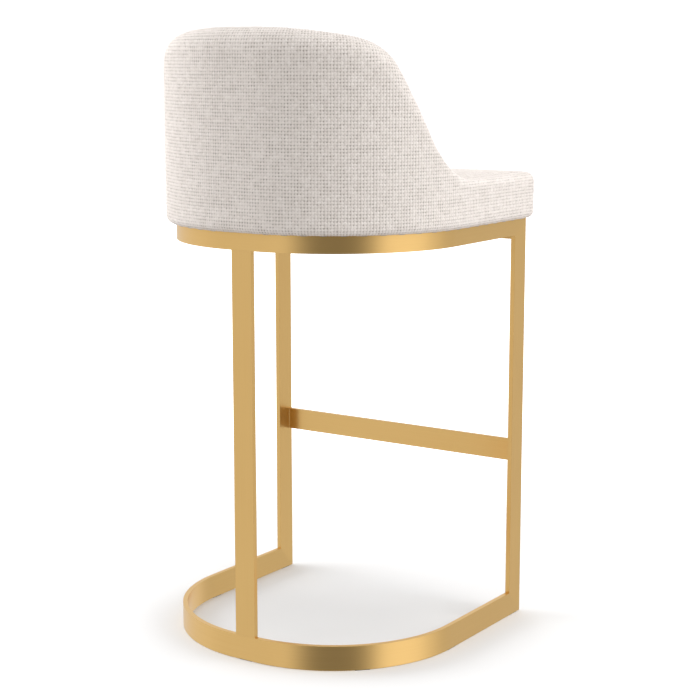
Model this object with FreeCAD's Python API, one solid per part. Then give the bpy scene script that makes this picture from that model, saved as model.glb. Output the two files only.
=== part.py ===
import FreeCAD, Part
import math
import os

# Bar stool with a flat-bar frame, a footrest and an upholstered tub seat.
# Millimetres. +Z is up, the sitter faces -Y, and the sitter's left is +X.
# The origin is on the floor, under the middle of the frame's plan.

# ---------------------------------------------------------------- frame sizes
FRAME_WIDTH = 500.0        # over the outer faces of the front legs
FRAME_DEPTH = 470.0        # front edge of the legs to the rear face
REAR_RADIUS = 230.0        # outer radius of the two bends at the rear
BAR = 8.0                  # thickness of every flat bar
BASE_HEIGHT = 40.0         # base ring, standing on edge
TOP_RING_HEIGHT = 28.0     # top ring, standing on edge
LEG_WIDTH = 38.0           # all three legs
RAIL_HEIGHT = 38.0         # front rail under the seat
FOOTREST_HEIGHT = 38.0     # footrest bar, standing on edge
FOOTREST_LEVEL = 271.0     # underside of the footrest above the floor
FRAME_HEIGHT = 696.0       # top of the frame above the floor
WELD_FACE = 1.2            # leg of the small fillet welds inside the corners

# ---------------------------------------------------------------- floor glides
GLIDE_THICKNESS = 1.0
GLIDE_LENGTH = 24.0
GLIDE_MARGIN = 1.0         # bar left uncovered on each side of a glide
GLIDE_FRONT_SETBACK = 22.0  # centre of the front glides behind the front edge
GLIDE_BEND_ANGLE = 45.0    # place of the rear glides round the bends

# ---------------------------------------------------------------- seat fixing
LUG_WIDTH = 34.0
LUG_REACH = 30.0           # how far a lug stands in from the ring
LUG_THICKNESS = 4.0
LUG_HOLE_REACH = 17.0      # hole centre from the ring's inner face
SIDE_LUG_SPACING = 150.0   # between the two lugs on each side
REAR_LUG_ANGLE = 52.0      # place of the rear lugs round the bends
SCREW_RADIUS = 3.0
SCREW_HOLE_CLEARANCE = 0.3
SCREW_HEAD_RADIUS = 5.5
SCREW_HEAD_HEIGHT = 3.3
SCREW_SOCKET_RADIUS = 2.0
SCREW_SOCKET_DEPTH = 2.0
WASHER_RADIUS = 7.5
WASHER_THICKNESS = 1.6
TEE_FLANGE_RADIUS = 9.5
TEE_FLANGE_THICKNESS = 1.5
TEE_BARREL_RADIUS = 4.0
TEE_BARREL_LENGTH = 11.0
TEE_CLEARANCE = 0.1

# ---------------------------------------------------------------- seat woodwork
BOARD_THICKNESS = 15.0
BOARD_OVERHANG = 1.0       # seat board beyond the outer face of the frame
SHELL_THICKNESS = 9.0      # bent plywood of the back and arms
SHELL_GAP = 0.3            # between the curved shell and what it wraps
SHELL_LIFT = 2.0           # underside of the shell above the frame
APRON_SHORTFALL = 14.0     # apron and shell ends stop short of the front corner
BRACKET_WIDTH = 25.0
BRACKET_LEG = 38.0
BRACKET_THICKNESS = 3.0
BRACKET_HOLE_REACH = 25.0  # screw holes from the bracket's corner
BRACKET_GAP = 0.5          # flat bracket in front of the curved shell
SIDE_BRACKET_SETBACK = 80.0  # side brackets in front of the bends
REAR_BRACKET_ANGLES = (30.0, 75.0)  # places of the other brackets round each bend
WOOD_SCREW_RADIUS = 2.0
WOOD_SCREW_HEAD_RADIUS = 3.8
WOOD_SCREW_HEAD = 1.4
WOOD_SCREW_BITE = 7.0      # how deep a wood screw goes into the plywood
WOOD_SCREW_CLEARANCE = 0.05
WOOD_SCREW_SPREAD = 12.0   # between the two screws in each bracket leg
APRON_SCREW_PITCH = 110.0
APRON_SCREW_BITE = 14.0    # how deep the apron's screws go into the board's edge

# ---------------------------------------------------------------- upholstery
OVERHANG = 16.5            # finished cover beyond the outer face of the frame
COVER = 1.6                # cover fabric
SOFT_GAP = 0.3             # between neighbouring soft layers
FRONT_CORNER_RADIUS = 30.0  # plan radius of the seat's two front corners
SEAT_THICKNESS = 77.0      # finished top of the seat above the frame
BACK_RISE = 237.0          # finished top of the back above the seat
ARM_RUN = 196.0            # rear of the frame to where the arm's slope meets the seat
ARM_SLOPE = 62.7           # degrees above level
CREST_SLOPE = 13.3         # degrees above level, along the top of the back
ARM_FOOT_RADIUS = 125.0    # hollow curve where the arm rises from the seat
SHOULDER_RADIUS = 95.0     # round curve where the arm meets the crest
BACK_PADDING = 30.0        # inner foam of the back
TOPPER = 13.0              # soft layer over the seat foam
CRUMPLE_ROOM = 2.0         # room left round the metal under the seat foam
DUST_COVER = 1.0
STAPLE_WIDTH = 10.0
STAPLE_WIRE = 0.7
STAPLE_PITCH = 30.0
STAPLE_INSET = 5.0         # staples in from the edge of the dust cover
HEM_INNER = 3.0            # the cover's hem stops this far outside the frame

# ---------------------------------------------------------------- derived sizes
SEAT_RIM = FRAME_HEIGHT + SEAT_THICKNESS
BACK_TOP = SEAT_RIM + BACK_RISE
HALF_WIDTH = FRAME_WIDTH / 2
FRONT = -FRAME_DEPTH / 2
REAR = FRAME_DEPTH / 2
BEND_Y = REAR - REAR_RADIUS
BEND_X = HALF_WIDTH - REAR_RADIUS
FRAME_FOOT = GLIDE_THICKNESS
RING_UNDERSIDE = FRAME_HEIGHT - TOP_RING_HEIGHT
LEG_INNER = FRONT + LEG_WIDTH
BOARD_TOP = FRAME_HEIGHT + BOARD_THICKNESS
SHELL_INNER = BOARD_OVERHANG + SHELL_GAP
SHELL_OUTER = SHELL_INNER + SHELL_THICKNESS
SHELL_FOOT = FRAME_HEIGHT + SHELL_LIFT
SKIN_FOOT = FRAME_HEIGHT + SOFT_GAP
COVER_INNER = OVERHANG - COVER
WADDING_INNER = SHELL_OUTER + SOFT_GAP
WADDING_OUTER = COVER_INNER - SOFT_GAP
SEAT_FACE = SEAT_RIM - COVER - SOFT_GAP
FOAM_TOP = SEAT_FACE - TOPPER - SOFT_GAP
EDGE_DEPTH = SEAT_RIM - FOAM_TOP   # finished edge above the shell's top edge
PADDING_FACE = SHELL_INNER - SOFT_GAP - BACK_PADDING
SEAT_OUTLINE = PADDING_FACE - SOFT_GAP
FAR = 4 * FRAME_DEPTH      # longer than the stool in every direction
PAST = 1.0                 # how far a cutting shape runs past what it cuts


# ---------------------------------------------------------------- helpers
def line(start, end):
    return Part.LineSegment(start, end).toShape()


def arc(centre, radius, start_degrees, end_degrees, z):
    """A level arc through its middle, so either direction works."""
    points = []
    for degrees in (start_degrees, (start_degrees + end_degrees) / 2, end_degrees):
        angle = math.radians(degrees)
        x = centre[0] + radius * math.cos(angle)
        y = centre[1] + radius * math.sin(angle)
        points.append(FreeCAD.Vector(x, y, z))
    return Part.Arc(*points).toShape()


def plan_face(offset, z, front, corner=0.0):
    """The stool's D-shaped plan, grown by offset, with its straight front at y = front."""
    side = HALF_WIDTH + offset
    bend = REAR_RADIUS + offset
    back = REAR + offset
    edges = [
        line(FreeCAD.Vector(side, front + corner, z), FreeCAD.Vector(side, BEND_Y, z)),
        arc((BEND_X, BEND_Y), bend, 0, 90, z),
        line(FreeCAD.Vector(BEND_X, back, z), FreeCAD.Vector(-BEND_X, back, z)),
        arc((-BEND_X, BEND_Y), bend, 90, 180, z),
        line(FreeCAD.Vector(-side, BEND_Y, z), FreeCAD.Vector(-side, front + corner, z)),
    ]
    if corner > 0:
        edges.append(arc((corner - side, front + corner), corner, 180, 270, z))
    front_left = FreeCAD.Vector(side - corner, front, z)
    edges.append(line(FreeCAD.Vector(corner - side, front, z), front_left))
    if corner > 0:
        edges.append(arc((side - corner, front + corner), corner, 270, 360, z))
    return Part.Face(Part.Wire(edges))


def plan_block(offset, low, high, front, corner=0.0):
    return plan_face(offset, low, front, corner).extrude(FreeCAD.Vector(0, 0, high - low))


def front_corner(offset):
    """Radius of a front corner on the plan grown by offset, or square once it runs out."""
    return max(0.0, FRONT_CORNER_RADIUS + offset - OVERHANG)


def full_block(offset, low, high):
    """The plan grown by offset on all sides, front included."""
    return plan_block(offset, low, high, FRONT - offset, front_corner(offset))


def open_wall(outer, inner, low, high, front=FRONT):
    """A wall round the sides and rear, open at the front."""
    return plan_block(outer, low, high, front).cut(plan_block(inner, low - PAST, high + PAST, front - PAST))


def closed_wall(outer, inner, low, high):
    """A wall all the way round, with rounded front corners."""
    return full_block(outer, low, high).cut(full_block(inner, low - PAST, high + PAST))


def side_plate(outline, x, thickness):
    """A plate of the given (y, z) outline, from x to x + thickness."""
    points = [FreeCAD.Vector(x, y, z) for y, z in outline]
    wire = Part.makePolygon(points + points[:1])
    return Part.Face(wire).extrude(FreeCAD.Vector(thickness, 0, 0))


def cylinder(radius, x, y, low, high):
    return Part.makeCylinder(radius, high - low, FreeCAD.Vector(x, y, low))


def placed(shape, x, y, z, turn):
    """A copy of a shape turned about Z and moved to its place."""
    copy = shape.copy()
    copy.Placement = FreeCAD.Placement(
        FreeCAD.Vector(x, y, z), FreeCAD.Rotation(FreeCAD.Vector(0, 0, 1), turn))
    return copy


def around(offset, at):
    """Place on the plan grown by offset: (x, y, degrees the outward direction makes with +X).

    'at' is a side, -1 or 1, with a y on the straight side, an angle on the rear bend,
    or the x of a place on the front edge.
    """
    side, kind, value = at
    if kind == "front":
        return side * value, FRONT - offset, 270
    if kind == "side":
        return side * (HALF_WIDTH + offset), value, 0 if side > 0 else 180
    angle = value if side > 0 else 180 - value
    x = side * BEND_X + (REAR_RADIUS + offset) * math.cos(math.radians(angle))
    return x, BEND_Y + (REAR_RADIUS + offset) * math.sin(math.radians(angle)), angle


def cut_all(shape, tools):
    for tool in tools:
        shape = shape.cut(tool)
    return shape


def export(name, shape):
    if shape.ShapeType == "Compound" and len(shape.Solids) == 1:
        shape = shape.Solids[0]
    shape.exportStep("parts/" + name + ".step")
    print(name, len(shape.Solids), "solids", round(shape.Volume / 1000, 2), "cm3")


# ---------------------------------------------------------------- side profile
def meet(point_a, angle_a, point_b, angle_b):
    """Where two lines in the (y, z) plane cross."""
    ay, az = math.cos(angle_a), math.sin(angle_a)
    by, bz = math.cos(angle_b), math.sin(angle_b)
    run = ((point_b[0] - point_a[0]) * bz - (point_b[1] - point_a[1]) * by) / (ay * bz - az * by)
    return point_a[0] + run * ay, point_a[1] + run * az


def inset_point(point, angle, inset):
    """A point moved square off its line, towards the inside of the upholstery."""
    return point[0] + inset * math.sin(angle), point[1] - inset * math.cos(angle)


def profile_block(inset):
    """All that lies under the arm and back outline, which is moved in by inset."""
    slope, crest = math.radians(ARM_SLOPE), math.radians(CREST_SLOPE)
    rim_point = (FRONT, SEAT_RIM - inset)
    slope_point = inset_point((REAR - ARM_RUN, SEAT_RIM), slope, inset)
    crest_point = inset_point((REAR + OVERHANG, BACK_TOP), crest, inset)
    foot = meet(rim_point, 0.0, slope_point, slope)
    shoulder = meet(slope_point, slope, crest_point, crest)
    start = (-FAR, rim_point[1])
    end = meet(crest_point, crest, (FAR, 0.0), math.pi / 2)
    edges = []
    cursor = start
    bends = (
        (foot, 0.0, slope, ARM_FOOT_RADIUS + inset),
        (shoulder, slope, crest, SHOULDER_RADIUS - inset))
    for corner, before, after, radius in bends:
        tangent = radius * abs(math.tan((after - before) / 2))
        arc_start = (corner[0] - tangent * math.cos(before), corner[1] - tangent * math.sin(before))
        arc_end = (corner[0] + tangent * math.cos(after), corner[1] + tangent * math.sin(after))
        turn = 1 if after > before else -1
        swing = turn * radius
        middle = (before + after) / 2
        arc_middle = (arc_start[0] + swing * (math.sin(middle) - math.sin(before)),
                      arc_start[1] + swing * (math.cos(before) - math.cos(middle)))
        edges.append(line(FreeCAD.Vector(-FAR, *cursor), FreeCAD.Vector(-FAR, *arc_start)))
        points = [FreeCAD.Vector(-FAR, *point) for point in (arc_start, arc_middle, arc_end)]
        edges.append(Part.Arc(*points).toShape())
        cursor = arc_end
    for point in (end, (end[0], 0.0), (start[0], 0.0), start):
        edges.append(line(FreeCAD.Vector(-FAR, *cursor), FreeCAD.Vector(-FAR, *point)))
        cursor = point
    return Part.Face(Part.Wire(edges)).extrude(FreeCAD.Vector(2 * FAR, 0, 0))


# ---------------------------------------------------------------- metal frame
def front_leg(side):
    """A leg whose two ends are mitred to the base ring and the top ring."""
    outline = [
        (FRONT, FRAME_FOOT), (LEG_INNER, FRAME_FOOT + BASE_HEIGHT),
        (LEG_INNER, RING_UNDERSIDE), (FRONT, FRAME_HEIGHT)]
    x = HALF_WIDTH - BAR if side > 0 else -HALF_WIDTH
    return side_plate(outline, x, BAR)


def ring(low, high):
    """A bent flat bar with both ends cut to meet the front legs."""
    bar = open_wall(0.0, -BAR, low, high)
    return cut_all(bar, [front_leg(1), front_leg(-1)])


def rear_leg():
    height = RING_UNDERSIDE - FRAME_FOOT - BASE_HEIGHT
    corner = FreeCAD.Vector(-LEG_WIDTH / 2, REAR - BAR, FRAME_FOOT + BASE_HEIGHT)
    return Part.makeBox(LEG_WIDTH, BAR, height, corner)


def cross_bar(low, height):
    """A bar on edge between the inner faces of the front legs, flush with their front."""
    width = FRAME_WIDTH - 2 * BAR
    return Part.makeBox(width, BAR, height, FreeCAD.Vector(-width / 2, FRONT, low))


def floor_glides():
    width = BAR - 2 * GLIDE_MARGIN
    corner = FreeCAD.Vector(-width / 2, -GLIDE_LENGTH / 2, 0)
    glide = Part.makeBox(width, GLIDE_LENGTH, GLIDE_THICKNESS, corner)
    stops = [(side, "side", FRONT + GLIDE_FRONT_SETBACK) for side in (-1, 1)]
    stops += [(side, "side", 0.0) for side in (-1, 1)]
    stops += [(side, "bend", GLIDE_BEND_ANGLE) for side in (-1, 1)]
    pads = []
    for stop in stops:
        x, y, turn = around(-BAR / 2, stop)
        pads.append(placed(glide, x, y, 0, turn))
    pads.append(placed(glide, 0, REAR - BAR / 2, 0, 90))
    return Part.makeCompound(pads)


def corner_welds():
    """Small fillet welds behind the footrest and the front rail, inside each leg."""
    inner = HALF_WIDTH - BAR
    back = FRONT + BAR
    welds = []
    spans = ((FOOTREST_LEVEL, FOOTREST_HEIGHT), (FRAME_HEIGHT - RAIL_HEIGHT, RAIL_HEIGHT))
    for low, height in spans:
        for side in (-1, 1):
            corner = FreeCAD.Vector(side * inner, back, low)
            in_x = FreeCAD.Vector(side * (inner - WELD_FACE), back, low)
            in_y = FreeCAD.Vector(side * inner, back + WELD_FACE, low)
            face = Part.Face(Part.makePolygon([corner, in_x, in_y, corner]))
            welds.append(face.extrude(FreeCAD.Vector(0, 0, height)))
    return Part.makeCompound(welds)


# ---------------------------------------------------------------- seat fixing
def lug_stops():
    stops = []
    for side in (-1, 1):
        stops += [(side, "side", BEND_Y - SIDE_LUG_SPACING), (side, "side", BEND_Y)]
        stops.append((side, "bend", REAR_LUG_ANGLE))
    return stops


def lug_holes():
    """Centres of the seat screws."""
    return [around(-BAR - LUG_HOLE_REACH, stop)[:2] for stop in lug_stops()]


def mounting_lugs():
    """Flat lugs welded inside the top ring, a dust cover's thickness below its top edge."""
    top = FRAME_HEIGHT - DUST_COVER
    corner = FreeCAD.Vector(-LUG_REACH, -LUG_WIDTH / 2, 0)
    blank = Part.makeBox(LUG_REACH + BAR, LUG_WIDTH, LUG_THICKNESS, corner)
    inside = plan_block(-BAR, top - 2 * LUG_THICKNESS, top + PAST, FRONT)
    lugs = []
    for stop, hole in zip(lug_stops(), lug_holes()):
        x, y, turn = around(-BAR, stop)
        lug = placed(blank, x, y, top - LUG_THICKNESS, turn).common(inside)
        drill = cylinder(SCREW_RADIUS + SCREW_HOLE_CLEARANCE, *hole, top - 2 * LUG_THICKNESS, top + PAST)
        lugs.append(lug.cut(drill))
    return Part.makeCompound([lug.Solids[0] for lug in lugs])


def lug_washers():
    high = FRAME_HEIGHT - DUST_COVER - LUG_THICKNESS
    low = high - WASHER_THICKNESS
    rings = []
    for x, y in lug_holes():
        hole = cylinder(SCREW_RADIUS + SCREW_HOLE_CLEARANCE, x, y, low - PAST, high + PAST)
        rings.append(cylinder(WASHER_RADIUS, x, y, low, high).cut(hole))
    return Part.makeCompound(rings)


def lug_screws():
    head_top = FRAME_HEIGHT - DUST_COVER - LUG_THICKNESS - WASHER_THICKNESS
    head_foot = head_top - SCREW_HEAD_HEIGHT
    screws = []
    for x, y in lug_holes():
        head = cylinder(SCREW_HEAD_RADIUS, x, y, head_foot, head_top)
        shank = cylinder(SCREW_RADIUS, x, y, head_top - PAST, BOARD_TOP)
        socket = cylinder(SCREW_SOCKET_RADIUS, x, y, head_foot - PAST, head_foot + SCREW_SOCKET_DEPTH)
        screws.append(head.fuse(shank).cut(socket))
    return Part.makeCompound(screws)


def tee_nuts():
    nuts = []
    top = BOARD_TOP + TEE_FLANGE_THICKNESS
    for x, y in lug_holes():
        flange = cylinder(TEE_FLANGE_RADIUS, x, y, BOARD_TOP, top)
        barrel = cylinder(TEE_BARREL_RADIUS, x, y, BOARD_TOP - TEE_BARREL_LENGTH, top)
        bore = cylinder(SCREW_RADIUS + TEE_CLEARANCE, x, y, FRAME_HEIGHT, top + PAST)
        nuts.append(flange.fuse(barrel).cut(bore))
    return Part.makeCompound(nuts)


# ---------------------------------------------------------------- woodwork
def bracket_stops():
    stops = [(side, "side", BEND_Y - SIDE_BRACKET_SETBACK) for side in (-1, 1)]
    for angle in REAR_BRACKET_ANGLES:
        stops += [(side, "bend", angle) for side in (-1, 1)]
    return stops


def bracket_frames():
    """Where each bracket's corner stands: on the board, just inside the shell."""
    return [around(SHELL_INNER - BRACKET_GAP, stop) for stop in bracket_stops()]


def bracket_blank():
    """An angle bracket with its corner at the origin, its upright leg facing +X."""
    foot = Part.makeBox(BRACKET_LEG, BRACKET_WIDTH, BRACKET_THICKNESS,
                        FreeCAD.Vector(-BRACKET_LEG, -BRACKET_WIDTH / 2, 0))
    upright = Part.makeBox(BRACKET_THICKNESS, BRACKET_WIDTH, BRACKET_LEG,
                           FreeCAD.Vector(-BRACKET_THICKNESS, -BRACKET_WIDTH / 2, 0))
    return foot.fuse(upright).removeSplitter()


def board_screw_blank(radius, head_radius):
    """Two screws going down through a bracket's foot into the board."""
    screws = []
    for across in (-WOOD_SCREW_SPREAD / 2, WOOD_SCREW_SPREAD / 2):
        x = -BRACKET_HOLE_REACH
        shank = cylinder(radius, x, across, -WOOD_SCREW_BITE, BRACKET_THICKNESS)
        head = cylinder(head_radius, x, across, BRACKET_THICKNESS, BRACKET_THICKNESS + WOOD_SCREW_HEAD)
        screws.append(shank.fuse(head))
    return screws


def shell_screw_blank(radius, head_radius):
    """Two screws going out through a bracket's upright leg into the shell."""
    outward = FreeCAD.Vector(1, 0, 0)
    reach = BRACKET_THICKNESS + BRACKET_GAP + WOOD_SCREW_BITE
    screws = []
    for across in (-WOOD_SCREW_SPREAD / 2, WOOD_SCREW_SPREAD / 2):
        z = BRACKET_HOLE_REACH
        shank = Part.makeCylinder(radius, reach, FreeCAD.Vector(-BRACKET_THICKNESS, across, z), outward)
        head_at = FreeCAD.Vector(-BRACKET_THICKNESS - WOOD_SCREW_HEAD, across, z)
        head = Part.makeCylinder(head_radius, WOOD_SCREW_HEAD, head_at, outward)
        screws.append(shank.fuse(head))
    return screws


def at_brackets(blanks):
    """Copies of the blanks at every bracket."""
    return [placed(blank, x, y, BOARD_TOP, turn) for x, y, turn in bracket_frames() for blank in blanks]


def screw_holes(blank_maker):
    """The room that screws need in the pieces they go through."""
    slack = WOOD_SCREW_CLEARANCE
    return at_brackets(blank_maker(WOOD_SCREW_RADIUS + slack, WOOD_SCREW_RADIUS + slack))


def shell_brackets():
    brackets = at_brackets([bracket_blank()])
    holes = screw_holes(board_screw_blank) + screw_holes(shell_screw_blank)
    return Part.makeCompound([cut_all(bracket, holes).Solids[0] for bracket in brackets])


def apron_screw_places():
    count = int((FRAME_WIDTH - 2 * APRON_SHORTFALL) // APRON_SCREW_PITCH)
    first = -APRON_SCREW_PITCH * (count - 1) / 2
    return [first + APRON_SCREW_PITCH * step for step in range(count)]


def apron_screws(slack=0.0):
    """Screws going back through the apron into the front edge of the board."""
    backward = FreeCAD.Vector(0, 1, 0)
    z = FRAME_HEIGHT + BOARD_THICKNESS / 2
    reach = SHELL_THICKNESS + SHELL_GAP + APRON_SCREW_BITE + slack
    screws = []
    for x in apron_screw_places():
        start = FreeCAD.Vector(x, FRONT - SHELL_OUTER, z)
        head = Part.makeCylinder(WOOD_SCREW_HEAD_RADIUS + slack, WOOD_SCREW_HEAD + slack, start, backward)
        screws.append(head.fuse(Part.makeCylinder(WOOD_SCREW_RADIUS + slack, reach, start, backward)))
    return screws


def seat_board():
    board = full_block(BOARD_OVERHANG, FRAME_HEIGHT, BOARD_TOP)
    holes = [cylinder(TEE_BARREL_RADIUS + TEE_CLEARANCE, x, y, FRAME_HEIGHT - PAST, BOARD_TOP + PAST)
             for x, y in lug_holes()]
    return cut_all(board, holes + screw_holes(board_screw_blank) + apron_screws(WOOD_SCREW_CLEARANCE))


def front_apron():
    """A plywood strip across the front edge of the board."""
    width = FRAME_WIDTH - 2 * APRON_SHORTFALL
    corner = FreeCAD.Vector(-width / 2, FRONT - SHELL_OUTER, SHELL_FOOT)
    strip = Part.makeBox(width, SHELL_THICKNESS, FOAM_TOP - SHELL_FOOT, corner)
    return cut_all(strip, apron_screws(WOOD_SCREW_CLEARANCE))


def back_shell():
    """Bent plywood: low along the sides, then rising to the back."""
    wall = open_wall(SHELL_OUTER, SHELL_INNER, SHELL_FOOT, BACK_TOP, FRONT + APRON_SHORTFALL)
    return cut_all(wall.common(profile_block(EDGE_DEPTH)), screw_holes(shell_screw_blank))


# ---------------------------------------------------------------- soft parts
def metal_pockets():
    """Room in the underside of the foam for tee nuts, brackets and their screws."""
    room = CRUMPLE_ROOM
    nut_top = BOARD_TOP + TEE_FLANGE_THICKNESS + room
    pockets = [cylinder(TEE_FLANGE_RADIUS + room, x, y, BOARD_TOP - PAST, nut_top)
               for x, y in lug_holes()]
    depth = BRACKET_THICKNESS + WOOD_SCREW_HEAD + room
    foot = Part.makeBox(BRACKET_LEG + room, BRACKET_WIDTH + 2 * room, depth + PAST,
                        FreeCAD.Vector(-BRACKET_LEG - room, -BRACKET_WIDTH / 2 - room, -PAST))
    upright = Part.makeBox(depth + 2 * room, BRACKET_WIDTH + 2 * room, BRACKET_LEG + room + PAST,
                           FreeCAD.Vector(-depth, -BRACKET_WIDTH / 2 - room, -PAST))
    return pockets + at_brackets([foot.fuse(upright)])


def seat_foam():
    block = full_block(SHELL_INNER - SOFT_GAP, BOARD_TOP, FOAM_TOP)
    return cut_all(block, metal_pockets())


def seat_topper():
    """Soft layer over the foam, inside the roll round the edge."""
    return full_block(SEAT_OUTLINE, FOAM_TOP + SOFT_GAP, SEAT_FACE)


def back_padding():
    """Inner foam of the back and arms, standing on the seat foam."""
    wall = open_wall(SHELL_INNER - SOFT_GAP, PADDING_FACE, FOAM_TOP + SOFT_GAP, BACK_TOP)
    return wall.common(profile_block(EDGE_DEPTH))


def edge_roll():
    """Padding over the top edge of the shell and round the front of the seat."""
    wall = closed_wall(WADDING_OUTER, PADDING_FACE, FOAM_TOP + SOFT_GAP, BACK_TOP)
    above_shell = wall.cut(profile_block(EDGE_DEPTH - SOFT_GAP))
    return above_shell.common(profile_block(COVER + SOFT_GAP))


def outer_wadding():
    """Thin wadding outside the shell and the apron."""
    wall = closed_wall(WADDING_OUTER, WADDING_INNER, SHELL_FOOT, BACK_TOP)
    return wall.common(profile_block(EDGE_DEPTH))


def outer_cover():
    """Fabric round the outside of the whole seat and back, with a hem under the shell."""
    wall = closed_wall(OVERHANG, COVER_INNER, SKIN_FOOT, BACK_TOP).common(profile_block(0.0))
    return wall.fuse(closed_wall(OVERHANG, HEM_INNER, SKIN_FOOT, SKIN_FOOT + COVER)).removeSplitter()


def crest_cover():
    """Fabric that turns over the rounded edge, from the outer cover to the inner ones."""
    band = closed_wall(COVER_INNER - SOFT_GAP, PADDING_FACE, SKIN_FOOT, BACK_TOP)
    return band.common(profile_block(0.0)).cut(profile_block(COVER))


def inner_back_cover():
    """Fabric on the sitter's side of the back and arms."""
    wall = open_wall(SEAT_OUTLINE, SEAT_OUTLINE - COVER, SEAT_RIM + SOFT_GAP, BACK_TOP)
    return wall.common(profile_block(0.0))


def seat_cover():
    """Fabric over the top of the seat."""
    return full_block(SEAT_OUTLINE, SEAT_RIM - COVER, SEAT_RIM)


def dust_cover():
    """Black cloth under the board, inside the ring."""
    inner = -BAR - SOFT_GAP
    low = FRAME_HEIGHT - DUST_COVER
    sheet = full_block(inner, low, FRAME_HEIGHT)
    holes = [cylinder(TEE_BARREL_RADIUS + TEE_CLEARANCE, x, y, low - PAST, FRAME_HEIGHT + PAST)
             for x, y in lug_holes()]
    return cut_all(sheet, holes)


def staple_stops(offset, keep_clear):
    """Evenly pitched places round the plan outline, clear of the given points."""
    side_length = BEND_Y - FRONT - STAPLE_PITCH
    bend_length = (REAR_RADIUS + offset) * math.pi / 2
    front_length = HALF_WIDTH + offset - FRONT_CORNER_RADIUS
    side_count = int(side_length // STAPLE_PITCH)
    bend_count = int(bend_length // STAPLE_PITCH)
    front_count = int(front_length // STAPLE_PITCH)
    stops = []
    for side in (-1, 1):
        stops += [(side, "side", BEND_Y - STAPLE_PITCH * step) for step in range(side_count + 1)]
        stops += [(side, "bend", 90.0 * step / bend_count) for step in range(1, bend_count)]
        stops += [(side, "front", STAPLE_PITCH * (step + 0.5)) for step in range(front_count)]
    return [stop for stop in stops if clear_of(around(offset, stop), keep_clear)]


def clear_of(place, points):
    return all(math.hypot(place[0] - x, place[1] - y) > LUG_WIDTH for x, y in points)


def staples(offset, z, keep_clear=()):
    """Staple crowns along the plan outline, with their upper faces at height z."""
    crown = Part.makeBox(STAPLE_WIRE, STAPLE_WIDTH, STAPLE_WIRE,
                         FreeCAD.Vector(-STAPLE_WIRE / 2, -STAPLE_WIDTH / 2, -STAPLE_WIRE))
    row = []
    for stop in staple_stops(offset, keep_clear):
        x, y, turn = around(offset, stop)
        row.append(placed(crown, x, y, z, turn))
    return Part.makeCompound(row)


def dust_cover_staples():
    return staples(-BAR - SOFT_GAP - STAPLE_INSET, FRAME_HEIGHT - DUST_COVER, lug_holes())


def hem_staples():
    return staples((HEM_INNER + SHELL_OUTER) / 2, SKIN_FOOT)


def main():
    os.makedirs("parts", exist_ok=True)
    base_top = FRAME_FOOT + BASE_HEIGHT
    export("base_ring", ring(FRAME_FOOT, base_top))
    export("top_ring", ring(RING_UNDERSIDE, FRAME_HEIGHT))
    export("front_leg_left", front_leg(1))
    export("front_leg_right", front_leg(-1))
    export("rear_leg", rear_leg())
    export("footrest_bar", cross_bar(FOOTREST_LEVEL, FOOTREST_HEIGHT))
    export("front_rail", cross_bar(FRAME_HEIGHT - RAIL_HEIGHT, RAIL_HEIGHT))
    export("corner_welds", corner_welds())
    export("floor_glides", floor_glides())
    export("mounting_lugs", mounting_lugs())
    export("lug_washers", lug_washers())
    export("lug_screws", lug_screws())
    export("tee_nuts", tee_nuts())
    export("seat_board", seat_board())
    export("front_apron", front_apron())
    export("apron_screws", Part.makeCompound(apron_screws()))
    export("back_shell", back_shell())
    export("shell_brackets", shell_brackets())
    export("board_screws", Part.makeCompound(at_brackets(
        board_screw_blank(WOOD_SCREW_RADIUS, WOOD_SCREW_HEAD_RADIUS))))
    export("shell_screws", Part.makeCompound(at_brackets(
        shell_screw_blank(WOOD_SCREW_RADIUS, WOOD_SCREW_HEAD_RADIUS))))
    export("seat_foam", seat_foam())
    export("seat_topper", seat_topper())
    export("back_padding", back_padding())
    export("edge_roll", edge_roll())
    export("outer_wadding", outer_wadding())
    export("outer_cover", outer_cover())
    export("crest_cover", crest_cover())
    export("inner_back_cover", inner_back_cover())
    export("seat_cover", seat_cover())
    export("dust_cover", dust_cover())
    export("dust_cover_staples", dust_cover_staples())
    export("hem_staples", hem_staples())


main()
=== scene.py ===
import math

import bpy
import numpy as np
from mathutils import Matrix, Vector
from mathutils.kdtree import KDTree


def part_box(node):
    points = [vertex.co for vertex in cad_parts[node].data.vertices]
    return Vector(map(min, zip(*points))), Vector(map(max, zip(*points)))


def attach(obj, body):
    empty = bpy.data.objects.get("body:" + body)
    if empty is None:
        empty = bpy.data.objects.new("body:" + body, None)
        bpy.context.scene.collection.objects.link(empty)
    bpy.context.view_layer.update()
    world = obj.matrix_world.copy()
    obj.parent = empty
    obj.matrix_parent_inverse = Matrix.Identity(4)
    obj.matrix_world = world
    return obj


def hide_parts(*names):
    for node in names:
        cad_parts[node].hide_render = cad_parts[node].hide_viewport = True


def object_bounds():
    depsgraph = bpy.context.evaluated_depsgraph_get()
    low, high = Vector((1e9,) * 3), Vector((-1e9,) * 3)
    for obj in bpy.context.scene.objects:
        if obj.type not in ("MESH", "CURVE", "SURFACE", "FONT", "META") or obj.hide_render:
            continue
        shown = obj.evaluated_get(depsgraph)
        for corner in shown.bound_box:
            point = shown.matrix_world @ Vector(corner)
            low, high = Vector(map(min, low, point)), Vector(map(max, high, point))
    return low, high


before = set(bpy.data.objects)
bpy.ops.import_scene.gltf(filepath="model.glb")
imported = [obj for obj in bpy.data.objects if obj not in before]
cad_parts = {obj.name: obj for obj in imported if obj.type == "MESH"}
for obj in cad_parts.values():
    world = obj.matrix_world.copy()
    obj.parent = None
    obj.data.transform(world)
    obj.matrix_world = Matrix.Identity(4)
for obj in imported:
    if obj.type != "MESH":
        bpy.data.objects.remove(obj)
CAD_LOW, CAD_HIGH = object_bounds()

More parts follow.
